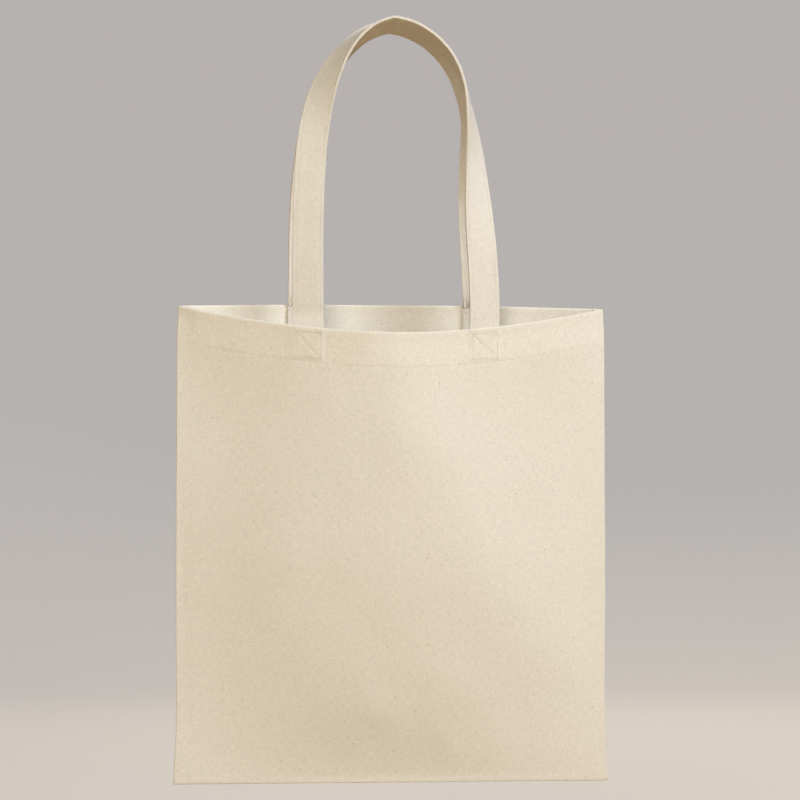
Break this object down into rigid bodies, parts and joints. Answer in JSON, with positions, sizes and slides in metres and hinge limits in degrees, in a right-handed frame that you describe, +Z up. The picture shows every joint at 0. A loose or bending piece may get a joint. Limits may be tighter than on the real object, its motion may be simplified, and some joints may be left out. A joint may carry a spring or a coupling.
{
  "type": "canvas tote bag",
  "caption": "Flat canvas tote bag with an open hemmed mouth, seams inside and handles that arch over it and fold down over the rim.",
  "frame": {"origin": "the point that a hook or a hand carries: the underside of the handles, at the top of their arch, midway between them", "axes": "+Z up, from the bottom seam to the handles; the front wall faces -Y; +X runs along the mouth, to the right as seen from the front"},
  "size_m": [0.381, 0.0723, 0.6738],
  "materials": {
    "canvas": "natural unbleached cotton canvas, matt, plain weave with fine slubs and seed flecks",
    "handle_canvas": "the same canvas folded to four layers and pressed, slightly smoother",
    "sewing_thread": "matt cotton sewing thread, natural",
    "overlock_thread": "matt overlock thread, off-white"
  },
  "bodies": {
    "bag": {"front_panel": "canvas", "back_panel": "canvas", "front_hem": "canvas", "back_hem": "canvas", "left_seam_allowance": "canvas", "right_seam_allowance": "canvas", "bottom_seam_allowance": "canvas", "left_overlock": "overlock_thread", "right_overlock": "overlock_thread", "bottom_overlock": "overlock_thread", "front_hem_stitching": "sewing_thread", "back_hem_stitching": "sewing_thread", "front_left_strap_end": "handle_canvas", "front_right_strap_end": "handle_canvas", "back_left_strap_end": "handle_canvas", "back_right_strap_end": "handle_canvas", "front_left_box_stitch": "sewing_thread", "front_right_box_stitch": "sewing_thread", "back_left_box_stitch": "sewing_thread", "back_right_box_stitch": "sewing_thread"},
    "front_handle": {"front_handle": "handle_canvas", "front_handle_stitching": "sewing_thread"},
    "back_handle": {"back_handle": "handle_canvas", "back_handle_stitching": "sewing_thread"}
  },
  "joints": [
    {"name": "front_handle_fold", "type": "hinge", "parent": "bag", "child": "front_handle", "pos_m": [0, -0.02921, -0.27369], "axis": [1, 0, 0], "range_deg": [0, 172]},
    {"name": "back_handle_fold", "type": "hinge", "parent": "bag", "child": "back_handle", "pos_m": [0, 0.02679, -0.25236], "axis": [-1, 0, 0], "range_deg": [0, 172]}
  ]
}
